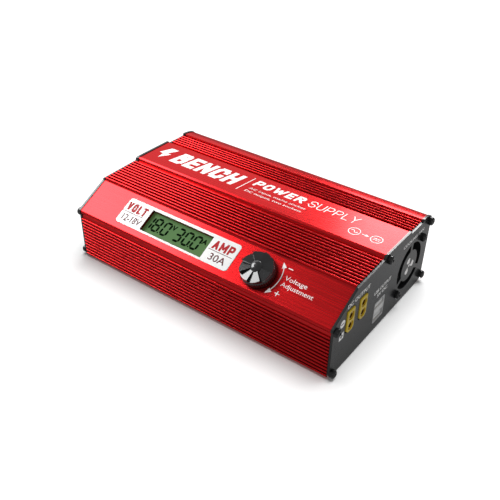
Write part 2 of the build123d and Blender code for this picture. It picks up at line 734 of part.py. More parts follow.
with BuildPart() as board_standoffs:
    with BuildSketch(level(BASE_LIFT + BASE_T)):
        with Locations(*[from_front(x, y) for x, y in STANDOFFS]):
            RegularPolygon(3.1, 6)
    extrude(amount=BOARD_Z - BASE_LIFT - BASE_T)
    with BuildSketch(level(BASE_LIFT)):
        with Locations(*[from_front(x, y) for x, y in STANDOFFS]):
            Circle(2.0)
    extrude(amount=BASE_T)
    with BuildSketch(level(BOARD_Z)):
        with Locations(*[from_front(x, y) for x, y in STANDOFFS]):
            Circle(THREAD_R)
    extrude(amount=-5, mode=Mode.SUBTRACT)
board_standoffs.part.label = "board_standoffs"
export_step(board_standoffs.part, "parts/board_standoffs.step")

with BuildPart() as main_board:
    with BuildSketch(level(BOARD_Z)):
        with Locations((-6, 0)):
            Rectangle(176, 102)
        with Locations(*[from_front(x, y) for x, y in STANDOFFS]):
            Circle(1.6, mode=Mode.SUBTRACT)
    extrude(amount=BOARD_T)
main_board.part.label = "main_board"
export_step(main_board.part, "parts/main_board.step")

board_screw = button_screw(BOARD_T + 4)
with BuildPart() as board_screws:
    with Locations(*[Plane(origin=(*from_front(x, y), BOARD_TOP + FOOT_PROUD)) for x, y in STANDOFFS]):
        add(board_screw)
board_screws.part.label = "board_screws"
export_step(board_screws.part, "parts/board_screws.step")

with BuildPart() as fuse:
    with BuildSketch(Plane.YZ.offset(-72)):
        with Locations(at(20, BOARD_TOP + 4.6)):
            Circle(2.6)
    extrude(amount=20)
fuse.part.label = "fuse"
export_step(fuse.part, "parts/fuse.step")

with BuildPart() as fuse_clips:
    for x in (-71, -58):
        with BuildSketch(Plane.YZ.offset(x)):
            with Locations(at(20, BOARD_TOP + 2.9)):
                Rectangle(7, 5.8)
            with Locations(at(20, BOARD_TOP + 4.6)):
                Circle(2.6, mode=Mode.SUBTRACT)
            with Locations(at(20, BOARD_TOP + 6.6)):
                Rectangle(4, 4, mode=Mode.SUBTRACT)
        extrude(amount=5)
fuse_clips.part.label = "fuse_clips"
export_step(fuse_clips.part, "parts/fuse_clips.step")

with BuildPart() as filter_capacitors:
    with BuildSketch(level(BOARD_TOP)):
        with Locations(from_front(-42, 20), from_front(-22, 20)):
            RectangleRounded(18, 9, 1)
    extrude(amount=14)
filter_capacitors.part.label = "filter_capacitors"
export_step(filter_capacitors.part, "parts/filter_capacitors.step")

with BuildPart() as filter_choke_core:
    with BuildSketch(level(BOARD_TOP + 3)):
        with Locations(from_front(-56, 54)):
            Circle(10)
            Circle(5, mode=Mode.SUBTRACT)
    extrude(amount=9)
filter_choke_core.part.label = "filter_choke_core"
export_step(filter_choke_core.part, "parts/filter_choke_core.step")


def wound_ring(x, y, low, outer, inner, height, wire, spans):
    """Coils wrapped round a ring core: rectangular loops set about the ring."""
    with BuildPart() as coils:
        for angle in spans:
            mid = (outer + inner) / 2
            loop = Plane(
                origin=(
                    x + mid * cos(radians(angle)), y - DATUM_Y + mid * sin(radians(angle)),
                    low + height / 2 + FOOT_PROUD,
                ),
                x_dir=(cos(radians(angle)), sin(radians(angle)), 0),
                z_dir=(-sin(radians(angle)), cos(radians(angle)), 0),
            )
            with BuildSketch(loop.offset(-wire / 2)):
                RectangleRounded(outer - inner + 2 * wire, height + 2 * wire, wire * 0.9)
                Rectangle(outer - inner + 0.5, height + 0.3, mode=Mode.SUBTRACT)
            extrude(amount=wire)
    return coils.part


with BuildPart() as filter_choke_coils:
    add(wound_ring(-56, 54, BOARD_TOP + 3, 10, 5, 9, 1.2, (*range(-50, 51, 25), *range(130, 231, 25))))
filter_choke_coils.part.label = "filter_choke_coils"
export_step(filter_choke_coils.part, "parts/filter_choke_coils.step")

with BuildPart() as bulk_capacitors:
    with BuildSketch(level(BOARD_TOP)):
        with Locations(from_front(-26, 50), from_front(1, 50)):
            Circle(12.4)
    extrude(amount=34)
    chamfer(bulk_capacitors.edges().group_by(Axis.Z)[-1], 1.0)
bulk_capacitors.part.label = "bulk_capacitors"
export_step(bulk_capacitors.part, "parts/bulk_capacitors.step")

HEATSINK_Y = 100.0
with BuildPart() as heatsinks:
    for x, length in ((-44, 60), (34, 72)):
        with BuildSketch(level(BOARD_TOP)):
            with Locations(from_front(x, HEATSINK_Y)):
                Rectangle(length, 4)
            with Locations(from_front(x, HEATSINK_Y + 6)):
                with GridLocations(7, 0, int(length / 7), 1):
                    Rectangle(1.4, 8.2)
        extrude(amount=34)
heatsinks.part.label = "heatsinks"
export_step(heatsinks.part, "parts/heatsinks.step")

with BuildPart() as power_transistors:
    with BuildSketch(level(BOARD_TOP + 6)):
        with Locations(*[from_front(x, HEATSINK_Y - 4.5) for x in (-62, -44, 10, 30, 50)]):
            Rectangle(15.6, 5)
    extrude(amount=20)
    with BuildSketch(level(BOARD_TOP)):
        with Locations(*[from_front(x, HEATSINK_Y - 4.5) for x in (-62, -44, 10, 30, 50)]):
            with GridLocations(5.4, 0, 3, 1):
                Rectangle(1.2, 0.7)
    extrude(amount=6)
power_transistors.part.label = "power_transistors"
export_step(power_transistors.part, "parts/power_transistors.step")

with BuildPart() as bridge_rectifier:
    with BuildSketch(level(BOARD_TOP + 4)):
        with Locations(from_front(-26, HEATSINK_Y - 4.2)):
            Rectangle(14, 4.4)
    extrude(amount=20)
    with BuildSketch(level(BOARD_TOP)):
        with Locations(from_front(-26, HEATSINK_Y - 4.2)):
            with GridLocations(3.6, 0, 4, 1):
                Rectangle(1.0, 0.8)
    extrude(amount=4)
bridge_rectifier.part.label = "bridge_rectifier"
export_step(bridge_rectifier.part, "parts/bridge_rectifier.step")

TRANSFORMER = (32.0, 66.0)
with BuildPart() as transformer_core:
    with BuildSketch(Plane.XZ.offset(-at(TRANSFORMER[1], 0)[0] - 7)):
        with Locations((TRANSFORMER[0], BOARD_TOP + FOOT_PROUD + 17)):
            Rectangle(40, 30)
            with Locations((-11, 0), (11, 0)):
                Rectangle(9, 18, mode=Mode.SUBTRACT)
    extrude(amount=14)
transformer_core.part.label = "transformer_core"
export_step(transformer_core.part, "parts/transformer_core.step")

with BuildPart() as transformer_winding:
    with BuildSketch(level(BOARD_TOP + 8.2)):
        with Locations(from_front(*TRANSFORMER)):
            RectangleRounded(30.4, 31.6, 7)
            Rectangle(13.2, 14.2, mode=Mode.SUBTRACT)
    extrude(amount=17.6)
transformer_winding.part.label = "transformer_winding"
export_step(transformer_winding.part, "parts/transformer_winding.step")

with BuildPart() as output_choke_core:
    with BuildSketch(level(BOARD_TOP + 3)):
        with Locations(from_front(35, 33)):
            Circle(12)
            Circle(6, mode=Mode.SUBTRACT)
    extrude(amount=11)
output_choke_core.part.label = "output_choke_core"
export_step(output_choke_core.part, "parts/output_choke_core.step")

with BuildPart() as output_choke_coils:
    add(wound_ring(35, 33, BOARD_TOP + 3, 12, 6, 11, 1.5, range(0, 360, 30)))
output_choke_coils.part.label = "output_choke_coils"
export_step(output_choke_coils.part, "parts/output_choke_coils.step")

with BuildPart() as output_capacitors:
    with BuildSketch(level(BOARD_TOP)):
        with Locations(from_front(67, 40)):
            with GridLocations(11, 11, 2, 3):
                Circle(5)
    extrude(amount=20)
    chamfer(output_capacitors.edges().group_by(Axis.Z)[-1], 0.6)
output_capacitors.part.label = "output_capacitors"
export_step(output_capacitors.part, "parts/output_capacitors.step")

with BuildPart() as control_board:
    with BuildSketch(Plane.YZ.offset(60)):
        with Locations(at(78, BOARD_TOP + 11)):
            Rectangle(26, 22)
    extrude(amount=1.2)
    with BuildSketch(Plane.YZ.offset(61.2)):
        with Locations(at(78, BOARD_TOP + 14)):
            Rectangle(9, 6)
    extrude(amount=1.4)
control_board.part.label = "control_board"
export_step(control_board.part, "parts/control_board.step")

BAR_T = 1.5
with BuildPart() as bus_bars:
    for side, mid_y, length, leg_y in ((-1, 26.2, 20, 26), (1, 30.2, 28, 42)):
        bar_z = SOCKET_Z + side * CONTACT_PITCH / 2
        with BuildSketch(Plane.YZ.offset(CONTACT_ENDS[0] - BAR_T)):
            with Locations(at(mid_y, bar_z)):
                Rectangle(length, 4.4)
            with Locations(at(leg_y, (bar_z + BOARD_TOP) / 2)):
                Rectangle(4, bar_z - BOARD_TOP)
        extrude(amount=BAR_T)
        with BuildSketch(Plane.YZ.offset(CONTACT_ENDS[0] - 5.5)):
            with Locations(at(leg_y, BOARD_TOP + BAR_T / 2)):
                Rectangle(4, BAR_T)
        extrude(amount=5.5)
bus_bars.part.label = "bus_bars"
export_step(bus_bars.part, "parts/bus_bars.step")


def wire(start, end, leaving, arriving, radius):
    """Round lead between two case points (x, y, z), with its direction at both ends."""
    first, last = [Vector(x, *at(y, z)) for x, y, z in (start, end)]
    reach = (last - first).length * 0.4
    with BuildPart() as lead:
        with BuildLine() as route:
            Bezier(first, first + Vector(leaving) * reach, last - Vector(arriving) * reach, last)
        with BuildSketch(Plane(origin=route.line @ 0, z_dir=route.line % 0)):
            Circle(radius)
        sweep(path=route.line)
    return lead.part


INLET_REAR = LEFT + INLET_DEEP
DOWN = (0, 0, -1)
with BuildPart() as mains_wires:
    add(wire((INLET_REAR, 71, 23), (-80, 34.4, 29), (1, 0, 0), (0, -1, 0), 1.0))
    add(wire((INLET_REAR, 85, 23), (-78, 90, BOARD_TOP), (1, 0, 0), DOWN, 1.0))
    add(wire((INLET_REAR, 78, 27), (-74, 78, BOARD_TOP), (1, 0, 0), DOWN, 1.0))
    add(wire((-77.6, 32, 21), (-72, 32, BOARD_TOP), (1, 0, 0), DOWN, 1.0))
mains_wires.part.label = "mains_wires"
export_step(mains_wires.part, "parts/mains_wires.step")

with BuildPart() as fan_lead:
    for y in (104.2, 106.4):
        add(wire((FAN_BACK, y, 10.8), (80, y - 2, BOARD_TOP), (-1, 0, 0), DOWN, 0.7))
fan_lead.part.label = "fan_lead"
export_step(fan_lead.part, "parts/fan_lead.step")

ribbon_top = slope.from_local_coords((RIBBON_X, WINDOW_AT[1], -BOARD_DOWN - 3))
with BuildPart() as ribbon_cable:
    with BuildLine() as ribbon_route:
        Spline(ribbon_top, (RIBBON_X, *at(30, BOARD_TOP)), tangents=[-slope.z_dir, DOWN])
    with BuildSketch(Plane(origin=ribbon_top, x_dir=(1, 0, 0), z_dir=-slope.z_dir)):
        Rectangle(10, 0.8)
    sweep(path=ribbon_route.line)
ribbon_cable.part.label = "ribbon_cable"
export_step(ribbon_cable.part, "parts/ribbon_cable.step")
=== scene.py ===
import json
import math

import bmesh
import bpy
from mathutils import Matrix, Vector


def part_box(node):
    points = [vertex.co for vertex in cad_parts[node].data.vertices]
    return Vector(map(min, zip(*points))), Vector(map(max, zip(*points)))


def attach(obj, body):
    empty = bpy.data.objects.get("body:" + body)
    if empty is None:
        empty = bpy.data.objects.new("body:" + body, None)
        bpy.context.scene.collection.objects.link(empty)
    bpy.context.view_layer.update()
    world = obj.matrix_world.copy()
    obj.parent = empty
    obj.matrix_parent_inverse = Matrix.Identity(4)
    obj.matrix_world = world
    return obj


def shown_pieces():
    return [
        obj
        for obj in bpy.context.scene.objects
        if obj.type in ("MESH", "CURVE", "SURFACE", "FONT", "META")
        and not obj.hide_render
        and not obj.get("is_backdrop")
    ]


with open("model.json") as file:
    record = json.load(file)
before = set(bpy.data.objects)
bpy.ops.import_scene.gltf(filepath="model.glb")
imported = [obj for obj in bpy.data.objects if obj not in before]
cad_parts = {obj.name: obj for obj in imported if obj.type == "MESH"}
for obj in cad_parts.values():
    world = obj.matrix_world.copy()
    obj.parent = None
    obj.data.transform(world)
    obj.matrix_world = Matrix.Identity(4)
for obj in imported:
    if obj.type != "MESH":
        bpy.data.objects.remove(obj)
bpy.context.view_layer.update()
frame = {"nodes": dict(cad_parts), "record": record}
MM = 0.001

# ---------------------------------------------------------------- materials
WHITE = (1, 1, 1)
NOISE_LOW, NOISE_HIGH = 0.3, 0.7     # where most of the noise lies
AO_SAMPLES = 6
AO_DARK, AO_LIGHT = 0.45, 0.95       # openness at which a groove's painted shade is darkest, and at which it is clear
BAND_DEPTH = 0.2 * MM
TRACK_SCALE = 160.0
TRACK_DEPTH = 0.1 * MM
looks = {}


def tree(name):
    """A new node material, kept in looks under its name."""
    mat = bpy.data.materials.new(name)
    mat.use_nodes = True
    looks[name] = mat
    return mat.node_tree.nodes, mat.node_tree.links


def place(nodes, links, stretch=(1, 1, 1)):
    """Object coordinates, stretched along the frame's axes."""
    coords = nodes.new("ShaderNodeTexCoord")
    mapping = nodes.new("ShaderNodeMapping")
    mapping.inputs["Scale"].default_value = stretch
    links.new(coords.outputs["Object"], mapping.inputs["Vector"])
    return mapping.outputs["Vector"]


def noise(nodes, links, vector, scale, detail=3.0):
    """Cloudy noise between 0 and 1."""
    node = nodes.new("ShaderNodeTexNoise")
    node.inputs["Scale"].default_value = scale
    node.inputs["Detail"].default_value = detail
    links.new(vector, node.inputs["Vector"])
    return node.outputs["Fac"]


def ramp(nodes, links, factor, stops):
    """A colour ramp through (position, colour) stops."""
    node = nodes.new("ShaderNodeValToRGB")
    elements = node.color_ramp.elements
    while len(elements) < len(stops):
        elements.new(0.5)
    for element, (position, colour) in zip(elements, stops):
        element.position = position
        element.color = (*colour, 1)
    links.new(factor, node.inputs["Fac"])
    return node.outputs["Color"]


def spread(nodes, links, factor, low, high):
    """A noise or wave value mapped onto the range low to high."""
    node = nodes.new("ShaderNodeMapRange")
    node.inputs["From Min"].default_value = NOISE_LOW
    node.inputs["From Max"].default_value = NOISE_HIGH
    node.inputs["To Min"].default_value = low
    node.inputs["To Max"].default_value = high
    links.new(factor, node.inputs["Value"])
    return node.outputs["Result"]


def bump(nodes, links, shader, height, strength, depth):
    """Relief on the shader's surface."""
    node = nodes.new("ShaderNodeBump")
    node.inputs["Strength"].default_value = strength
    node.inputs["Distance"].default_value = depth
    links.new(height, node.inputs["Height"])
    links.new(node.outputs["Normal"], shader.inputs["Normal"])


def painted_groove_shade(nodes, links, tone, reach, dark):
    """Darkens a tone down with painted shade inside grooves and corners."""
    near = nodes.new("ShaderNodeAmbientOcclusion")
    near.samples = AO_SAMPLES
    near.inputs["Distance"].default_value = reach
    shade = ramp(nodes, links, near.outputs["AO"], [(AO_DARK, (dark, dark, dark)), (AO_LIGHT, WHITE)])
    mix = nodes.new("ShaderNodeMix")
    mix.data_type = "RGBA"
    mix.blend_type = "MULTIPLY"
    mix.inputs["Factor"].default_value = 1.0
    links.new(tone, mix.inputs["A"])
    links.new(shade, mix.inputs["B"])
    return mix.outputs["Result"]


def finish(name, colour, rough, metal=0.0, vary=0.12, cloud=60.0, grain=2500.0, stretch=(1, 1, 1),
           relief=0.15, depth=0.04 * MM, coat=0.0, coat_rough=0.1, glow=0.0, shine=0.5, edge=WHITE,
           reach=0.0, dark=1.0):
    """A finish whose colour drifts slowly, whose roughness changes and whose skin has a fine grain;
    given a reach, painted shade darkens it in its grooves.
    """
    nodes, links = tree(name)
    shader = nodes["Principled BSDF"]
    vector = place(nodes, links, stretch)
    drift = noise(nodes, links, vector, cloud)
    fine = noise(nodes, links, vector, grain, 2.0)
    low = tuple(c * (1 - vary) for c in colour)
    high = tuple(min(1.0, c * (1 + vary)) for c in colour)
    tone = ramp(nodes, links, drift, [(NOISE_LOW, low), (NOISE_HIGH, high)])
    # Painted shade: the tone is darkened inside grooves and corners, down to dark.
    if reach:
        tone = painted_groove_shade(nodes, links, tone, reach, dark)
    links.new(tone, shader.inputs["Base Color"])
    roughness = spread(nodes, links, fine, rough * 0.85, min(1.0, rough * 1.15))
    links.new(roughness, shader.inputs["Roughness"])
    shader.inputs["Metallic"].default_value = metal
    shader.inputs["Specular IOR Level"].default_value = shine
    shader.inputs["Specular Tint"].default_value = (*edge, 1)
    shader.inputs["Coat Weight"].default_value = coat
    shader.inputs["Coat Roughness"].default_value = coat_rough
    if glow:
        links.new(tone, shader.inputs["Emission Color"])
        shader.inputs["Emission Strength"].default_value = glow
    bump(nodes, links, shader, fine, relief, depth)


def banded(name, dark, light, pitch, axis, rough=0.4, metal=0.0, relief=0.5, wobble=0.5):
    """Lines repeated every pitch mm, as of wire turns, ribbon cores or a turned shaft."""
    nodes, links = tree(name)
    shader = nodes["Principled BSDF"]
    vector = place(nodes, links)
    wave = nodes.new("ShaderNodeTexWave")
    wave.bands_direction = axis
    wave.inputs["Scale"].default_value = math.pi / (10 * pitch * MM)
    wave.inputs["Distortion"].default_value = wobble
    wave.inputs["Detail"].default_value = 1.0
    links.new(vector, wave.inputs["Vector"])
    tone = ramp(nodes, links, wave.outputs["Fac"], [(0.1, dark), (0.8, light)])
    links.new(tone, shader.inputs["Base Color"])
    roughness = spread(nodes, links, wave.outputs["Fac"], rough * 1.2, rough * 0.8)
    links.new(roughness, shader.inputs["Roughness"])
    shader.inputs["Metallic"].default_value = metal
    bump(nodes, links, shader, wave.outputs["Fac"], relief, BAND_DEPTH)


def board(name, mask, trace):
    """Solder mask with copper tracks showing through it as a slightly raised, lighter net."""
    nodes, links = tree(name)
    shader = nodes["Principled BSDF"]
    vector = place(nodes, links)
    cells = nodes.new("ShaderNodeTexVoronoi")
    cells.feature = "DISTANCE_TO_EDGE"
    cells.distance = "MANHATTAN"
    cells.inputs["Scale"].default_value = TRACK_SCALE
    links.new(vector, cells.inputs["Vector"])
    tone = ramp(nodes, links, cells.outputs["Distance"], [(0.05, trace), (0.12, mask)])
    links.new(tone, shader.inputs["Base Color"])
    shader.inputs["Roughness"].default_value = 0.3
    bump(nodes, links, shader, cells.outputs["Distance"], 0.2, TRACK_DEPTH)


# The anodised red has painted shade in its grooves, down to 0.30 of its tone within 2 mm.
finish("anodised_red", (0.68, 0.010, 0.013), 0.27, metal=1.0, vary=0.04, cloud=25, grain=1400,
       stretch=(0.02, 1, 1), relief=0.006, coat=0.26, coat_rough=0.2, edge=(1.0, 0.55, 0.55),
       reach=2.0 * MM, dark=0.30)
finish("plate_black", (0.015, 0.016, 0.017), 0.30, metal=0.2, vary=0.12, cloud=30, grain=4200,
       relief=0.12, coat=0.22, coat_rough=0.2)
finish("base_aluminium", (0.62, 0.62, 0.64), 0.34, metal=1.0, vary=0.08, cloud=40, grain=1500,
       stretch=(0.04, 1, 1), relief=0.25)
finish("screw_black", (0.012, 0.012, 0.013), 0.22, metal=0.5, vary=0.3, cloud=300, grain=3500,
       relief=0.15, coat=0.4)
finish("rubber_black", (0.018, 0.018, 0.018), 0.75, vary=0.3, cloud=150, grain=2600, relief=0.5)
finish("label_white", (0.96, 0.96, 0.95), 0.28, vary=0.015, cloud=35, grain=3000, relief=0.05)
finish("display_green", (0.085, 0.19, 0.060), 0.6, vary=0.05, cloud=30, grain=6000, relief=0.02,
       glow=0.12, shine=0.15)
finish("light_guide", (0.80, 0.86, 0.80), 0.45, vary=0.04, cloud=60, relief=0.1)
board("circuit_board", (0.012, 0.10, 0.030), (0.05, 0.24, 0.09))
finish("pot_metal", (0.55, 0.54, 0.50), 0.32, metal=1.0, vary=0.12, cloud=200, relief=0.2)
banded("pot_shaft", (0.5, 0.5, 0.49), (0.74, 0.74, 0.73), 0.25, "Z", rough=0.3, metal=1.0,
       relief=0.2)
finish("knob_black", (0.014, 0.014, 0.015), 0.23, metal=0.25, vary=0.25, cloud=120, grain=1800,
       relief=0.03, coat=0.8, coat_rough=0.06)
finish("fan_black", (0.012, 0.012, 0.013), 0.42, vary=0.25, cloud=90, grain=2200, relief=0.25)
finish("bearing_bronze", (0.52, 0.30, 0.11), 0.38, metal=1.0, vary=0.2, cloud=500)
banded("stator_copper", (0.35, 0.11, 0.03), (0.80, 0.36, 0.14), 0.3, "X", metal=1.0)
finish("magnet_grey", (0.05, 0.05, 0.055), 0.6, vary=0.3, cloud=700, relief=0.4)
finish("steel", (0.60, 0.60, 0.60), 0.28, metal=1.0, vary=0.1, cloud=180, relief=0.15)
finish("socket_yellow", (0.80, 0.56, 0.02), 0.30, vary=0.10, cloud=180, grain=2600, relief=0.12,
       coat=0.2)
finish("gold_contact", (0.86, 0.60, 0.16), 0.22, metal=1.0, vary=0.12, cloud=400)
finish("usb_steel", (0.80, 0.80, 0.81), 0.42, metal=0.7, vary=0.06, cloud=200, relief=0.1)
finish("usb_white", (0.86, 0.86, 0.85), 0.35, vary=0.04, cloud=200, relief=0.1)
finish("inlet_black", (0.014, 0.014, 0.015), 0.38, vary=0.25, cloud=90, grain=2400, relief=0.25)
finish("rocker_black", (0.016, 0.016, 0.017), 0.22, vary=0.2, cloud=90, grain=2400, relief=0.08,
       coat=0.3)
finish("insulation_film", (0.50, 0.34, 0.13), 0.25, vary=0.1, cloud=45, relief=0.1)
banded("capacitor_sleeve", (0.006, 0.010, 0.040), (0.016, 0.028, 0.10), 8.0, "DIAGONAL", rough=0.3,
       relief=0.02)
finish("film_capacitor", (0.56, 0.36, 0.03), 0.42, vary=0.1, cloud=120, relief=0.2)
finish("fuse_glass", (0.70, 0.74, 0.74), 0.08, vary=0.12, cloud=260, relief=0.02, coat=0.8)
finish("ferrite", (0.045, 0.048, 0.052), 0.62, vary=0.35, cloud=420, grain=1500, relief=0.5)
banded("enamelled_wire", (0.20, 0.045, 0.012), (0.72, 0.27, 0.08), 0.9, "DIAGONAL", rough=0.25,
       metal=0.8, wobble=1.5)
banded("winding_tape", (0.56, 0.40, 0.03), (0.80, 0.60, 0.08), 5.0, "Z", rough=0.35, relief=0.15)
finish("heatsink_aluminium", (0.58, 0.59, 0.60), 0.38, metal=1.0, vary=0.1, cloud=50, grain=1400,
       stretch=(0.05, 1, 1), relief=0.3)
finish("component_black", (0.020, 0.020, 0.021), 0.5, vary=0.3, cloud=260, relief=0.35)
finish("copper_bar", (0.70, 0.28, 0.12), 0.3, metal=1.0, vary=0.16, cloud=110, relief=0.2)
finish("wire_jacket", (0.10, 0.012, 0.010), 0.45, vary=0.3, cloud=110, relief=0.15)
banded("ribbon_grey", (0.20, 0.20, 0.21), (0.48, 0.48, 0.49), 1.27, "X", rough=0.5, wobble=0.0)
# The white print carries a painted glow, an emission of 0.12 that brightens it.
finish("print_white", (0.95, 0.94, 0.93), 0.42, vary=0.02, cloud=140, relief=0.05, glow=0.12)
finish("print_red", (0.50, 0.004, 0.010), 0.5, vary=0.08, cloud=200, relief=0.1, shine=0.2)
finish("print_dark", (0.020, 0.016, 0.018), 0.45, vary=0.2, cloud=200, relief=0.1)
finish("segment_dark", (0.003, 0.008, 0.003), 0.70, vary=0.2, cloud=200, relief=0.02, shine=0.0)
finish("print_maroon", (0.14, 0.016, 0.022), 0.5, vary=0.08, cloud=200, relief=0.1)

for part in frame["record"]["subparts"]:
    node = frame["nodes"][part["node"]]
    if not node.material_slots:
        node.data.materials.append(None)
    for slot in node.material_slots:
        slot.link = "OBJECT"
        slot.material = looks[part["material_slot"]]


# ---------------------------------------------------------------- printed marks
# All sizes of the marks are in mm.
PRINT_THICK = 0.06
PRINT_SUNK = 0.03      # how deep a print sits in its face
LAYER = 0.003          # rise between the overlapping bars of a letter
MERGE = 1e-4
SLANTED = 0.01         # a bar whose direction's x times y is above this isn't level or upright
SLANT_END = 3.0
SLANT_JOIN = 0.45
CURVE_STEPS = 4


def faced(origin, across, up):
    """Frame matrix of a printed face. Marks are laid out in mm, across and up, from that origin."""
    x, y = Vector(across).normalized(), Vector(up).normalized()
    matrix = Matrix((x, y, x.cross(y))).transposed().to_4x4()
    matrix.translation = Vector(origin) * MM
    return matrix


def glyphs(flat, text, box, bold=0.0, lean=0.0):
    """Filled letters, stretched to fill the box."""
    curve = bpy.data.curves.new("glyphs", "FONT")
    curve.body = text
    curve.offset = bold
    curve.shear = lean
    curve.resolution_u = CURVE_STEPS
    holder = bpy.data.objects.new("glyphs", curve)
    bpy.context.scene.collection.objects.link(holder)
    mesh = bpy.data.meshes.new_from_object(holder)
    xs = [v.co.x for v in mesh.vertices]
    ys = [v.co.y for v in mesh.vertices]
    left, low, right, high = box
    sx = (right - left) / (max(xs) - min(xs))
    sy = (high - low) / (max(ys) - min(ys))
    for v in mesh.vertices:
        v.co = (left + (v.co.x - min(xs)) * sx, low + (v.co.y - min(ys)) * sy, 0)
    flat.from_mesh(mesh)
    bpy.data.objects.remove(holder)
    bpy.data.curves.remove(curve)
    bpy.data.meshes.remove(mesh)


# Block letters on a unit square: bars run from point to point, and | starts a new line.
STROKES = {
    "A": "0,0 .5,1 1,0|.17,.3 .83,.3",
    "B": "0,0 0,1 .72,1 .95,.86 .95,.66 .72,.53 0,.53|.72,.53 1,.38 1,.14 .74,0 0,0",
    "C": "1,.74 1,.8 .75,1 .25,1 0,.8 0,.2 .25,0 .75,0 1,.2 1,.26",
    "E": "1,1 0,1 0,0 1,0|0,.5 .86,.5",
    "H": "0,0 0,1|1,0 1,1|0,.5 1,.5",
    "L": "0,1 0,0 1,0",
    "M": "0,0 0,1 .5,.25 1,1 1,0",
    "N": "0,0 0,1 1,0 1,1",
    "O": "0,.5 0,.8 .25,1 .75,1 1,.8 1,.2 .75,0 .25,0 0,.2 0,.5",
    "P": "0,0 0,1 .74,1 1,.84 1,.6 .74,.42 0,.42",
    "R": "0,0 0,1 .74,1 1,.84 1,.64 .74,.47 0,.47|.5,.47 1,0",
    "S": "1,.78 .75,1 .25,1 0,.82 0,.66 .25,.52 .75,.48 1,.34 1,.18 .75,0 .25,0 0,.22",
    "T": "0,1 1,1|.5,1 .5,0",
    "U": "0,1 0,.2 .25,0 .75,0 1,.2 1,1",
    "V": "0,1 .5,0 1,1",
    "W": "0,1 .25,0 .5,.85 .75,0 1,1",
    "Y": "0,1 .5,.46 1,1|.5,.46 .5,0",
}
WIDTHS = {"L": 0.86, "M": 1.3, "W": 1.45, "E": 0.9}


def reach_past(along, at_end):
    """How far a bar runs past its point, in half weights. Slanted ends run on and are trimmed later."""
    if abs(along.x * along.y) < SLANTED:
        return 1.0
    return SLANT_END if at_end else SLANT_JOIN


def strokes(flat, char, left, low, right, high, weight, lean):
    """One block letter, drawn as overlapping bars and trimmed level with its own box."""
    letter = bmesh.new()
    half = weight / 2
    wide, tall = right - left - weight, high - low - weight
    rise = 0.0
    for line in STROKES[char].split("|"):
        pairs = [[float(n) for n in pair.split(",")] for pair in line.split()]
        points = [Vector((left + half + x * wide, low + half + y * tall)) for x, y in pairs]
        for a, b in zip(points, points[1:]):
            along = (b - a).normalized()
            side = Vector((-along.y, along.x)) * half
            start = a - along * half * reach_past(along, a == points[0])
            stop = b + along * half * reach_past(along, b == points[-1])
            rise += LAYER
            corners_of_bar = [start - side, stop - side, stop + side, start + side]
            outline(letter, [corner[:] for corner in corners_of_bar], rise)
    for normal, limit in (((0, 1, 0), high), ((0, -1, 0), low)):
        bmesh.ops.bisect_plane(letter, geom=letter.verts[:] + letter.edges[:] + letter.faces[:],
                               plane_co=(0, limit, 0), plane_no=normal, clear_outer=True)
    for v in letter.verts:
        v.co.x += lean * (v.co.y - low)
    mesh = bpy.data.meshes.new("letter")
    letter.to_mesh(mesh)
    letter.free()
    flat.from_mesh(mesh)
    bpy.data.meshes.remove(mesh)


def block(flat, text, box, weight, gap=0.22, lean=0.0):
    """A word of block letters, spread over the box."""
    left, low, right, high = box
    widths = [WIDTHS.get(char, 1.0) for char in text]
    unit = (right - left - lean * (high - low)) / (sum(widths) + gap * (len(text) - 1))
    for char, width in zip(text, widths):
        strokes(flat, char, left, low, left + unit * width, high, weight, lean)
        left += unit * (width + gap)


def outline(flat, points, rise=0.0):
    """One flat face through the points."""
    flat.faces.new([flat.verts.new((x, y, rise)) for x, y in points])


def bar(flat, left, low, right, high, lean=0.0):
    """A rectangle whose top may lean to the right."""
    shift = lean * (high - low)
    outline(flat, [(left, low), (right, low), (right + shift, high), (left + shift, high)])


def plus(flat, x, y, size, width):
    """A plus sign round a centre."""
    h, w = size / 2, width / 2
    turns = [(-w, -h), (w, -h), (w, -w), (h, -w), (h, w), (w, w),
             (w, h), (-w, h), (-w, w), (-h, w), (-h, -w), (-w, -w)]
    outline(flat, [(x + dx, y + dy) for dx, dy in turns])


def polar(x, y, radius, angle):
    """The point at a radius and an angle in degrees round a centre."""
    return x + radius * math.cos(math.radians(angle)), y + radius * math.sin(math.radians(angle))


def arc(flat, x, y, radius, width, start, end, steps=40):
    """A band along part of a circle."""
    inner, outer = radius - width / 2, radius + width / 2
    angles = [start + (end - start) * i / steps for i in range(steps + 1)]
    for a, b in zip(angles, angles[1:]):
        outline(flat, [polar(x, y, inner, a), polar(x, y, outer, a),
                       polar(x, y, outer, b), polar(x, y, inner, b)])


def disc(flat, x, y, radius, steps=40):
    """A filled circle."""
    outline(flat, [polar(x, y, radius, 360 * i / steps) for i in range(steps)])


def arrow_head(flat, tip, back, width):
    """A filled triangle from its tip to the middle of its back."""
    tip, back = Vector(tip), Vector(back)
    side = Vector((back.y - tip.y, tip.x - back.x)).normalized() * width / 2
    outline(flat, [tip[:], (back + side)[:], (back - side)[:]])


